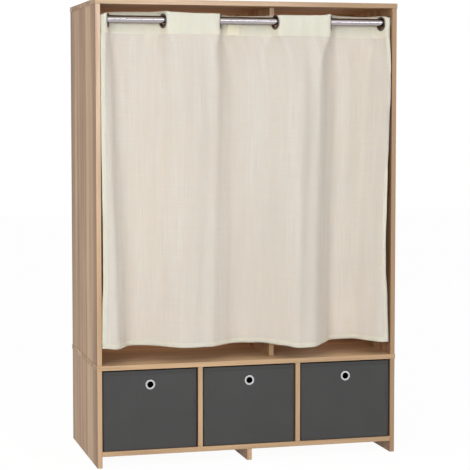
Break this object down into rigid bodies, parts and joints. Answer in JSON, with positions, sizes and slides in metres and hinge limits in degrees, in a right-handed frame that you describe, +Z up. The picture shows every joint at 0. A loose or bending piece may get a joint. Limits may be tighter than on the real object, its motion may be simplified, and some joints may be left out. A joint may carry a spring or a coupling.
{
  "type": "curtain wardrobe",
  "caption": "Open-front wood-effect wardrobe closed by an eyelet curtain on a rod, over a low unit whose bays hold pull-out fabric boxes.",
  "frame": {"origin": "on the floor, under the middle of the width and of the side panels' depth with the back panel", "axes": "+Z up, the open front faces -Y, +X to the right of someone who faces the front"},
  "size_m": [1.04, 0.5286, 1.54],
  "materials": {
    "wood_decor": "satin wood-effect foil over particle board",
    "back_panel": "satin wood-effect foil over thin fibreboard",
    "socket_metal": "polished plating",
    "rod_chrome": "polished plating",
    "eyelet_chrome": "polished plating, slightly dark",
    "ring_chrome": "polished plating",
    "zinc": "die-cast zinc",
    "steel": "zinc-plated steel",
    "dowel_wood": "plain beech",
    "curtain_cloth": "matte woven polyester",
    "box_fabric": "matte non-woven fabric over card",
    "box_card": null
  },
  "bodies": {
    "wardrobe": {"lower_side_left": "wood_decor", "lower_side_right": "wood_decor", "bottom_board": "wood_decor", "lower_divider_1": "wood_decor", "lower_divider_2": "wood_decor", "lower_top_board": "wood_decor", "centre_foot": "wood_decor", "upper_side_left": "wood_decor", "upper_side_right": "wood_decor", "top_board": "wood_decor", "upper_divider": "wood_decor", "shelf_1": "wood_decor", "shelf_2": "wood_decor", "shelf_3": "wood_decor", "lower_back": "back_panel", "upper_back_left": "back_panel", "upper_back_right": "back_panel", "rod_socket_left": "socket_metal", "rod_socket_right": "socket_metal", "rail_socket_left": "socket_metal", "rail_socket_right": "socket_metal", "cam_locks": "zinc", "cam_bolts": "zinc", "wood_dowels": "dowel_wood", "board_screws": "steel", "back_nails": "steel", "shelf_pins": "steel", "socket_screws": "steel", "curtain_rod": "rod_chrome", "clothes_rail": "rod_chrome", "curtain": "curtain_cloth"},
    "box_left": {"fabric_box_1": "box_fabric", "box_base_board_1": "box_card", "box_grip_ring_1": "ring_chrome"},
    "box_middle": {"fabric_box_2": "box_fabric", "box_base_board_2": "box_card", "box_grip_ring_2": "ring_chrome"},
    "box_right": {"fabric_box_3": "box_fabric", "box_base_board_3": "box_card", "box_grip_ring_3": "ring_chrome"},
    "eyelet_1": {"curtain_eyelet_1": "eyelet_chrome"},
    "eyelet_2": {"curtain_eyelet_2": "eyelet_chrome"},
    "eyelet_3": {"curtain_eyelet_3": "eyelet_chrome"},
    "eyelet_4": {"curtain_eyelet_4": "eyelet_chrome"},
    "eyelet_5": {"curtain_eyelet_5": "eyelet_chrome"},
    "eyelet_6": {"curtain_eyelet_6": "eyelet_chrome"}
  },
  "joints": [
    {"name": "box_left_slide", "type": "slide", "parent": "wardrobe", "child": "box_left", "axis": [0, -1, 0], "range_m": [0, 0.4]},
    {"name": "box_middle_slide", "type": "slide", "parent": "wardrobe", "child": "box_middle", "axis": [0, -1, 0], "range_m": [0, 0.4]},
    {"name": "box_right_slide", "type": "slide", "parent": "wardrobe", "child": "box_right", "axis": [0, -1, 0], "range_m": [0, 0.4]},
    {"name": "curtain_draw", "type": "slide", "parent": "wardrobe", "child": "eyelet_6", "axis": [-1, 0, 0], "range_m": [0, 0.7202], "deforming": ["curtain"]},
    {"name": "eyelet_1_slide", "type": "slide", "parent": "wardrobe", "child": "eyelet_1", "axis": [-1, 0, 0], "range_m": [0, 0.01006]},
    {"name": "eyelet_2_slide", "type": "slide", "parent": "wardrobe", "child": "eyelet_2", "axis": [-1, 0, 0], "range_m": [0, 0.14981]},
    {"name": "eyelet_3_slide", "type": "slide", "parent": "wardrobe", "child": "eyelet_3", "axis": [-1, 0, 0], "range_m": [0, 0.29476]},
    {"name": "eyelet_4_slide", "type": "slide", "parent": "wardrobe", "child": "eyelet_4", "axis": [-1, 0, 0], "range_m": [0, 0.43872]},
    {"name": "eyelet_5_slide", "type": "slide", "parent": "wardrobe", "child": "eyelet_5", "axis": [-1, 0, 0], "range_m": [0, 0.58375]}
  ],
  "couplings": [
    {"joint": "eyelet_1_slide", "follows": "curtain_draw", "ratio": 0.013905},
    {"joint": "eyelet_2_slide", "follows": "curtain_draw", "ratio": 0.20794},
    {"joint": "eyelet_3_slide", "follows": "curtain_draw", "ratio": 0.4092},
    {"joint": "eyelet_4_slide", "follows": "curtain_draw", "ratio": 0.6091},
    {"joint": "eyelet_5_slide", "follows": "curtain_draw", "ratio": 0.81046}
  ]
}
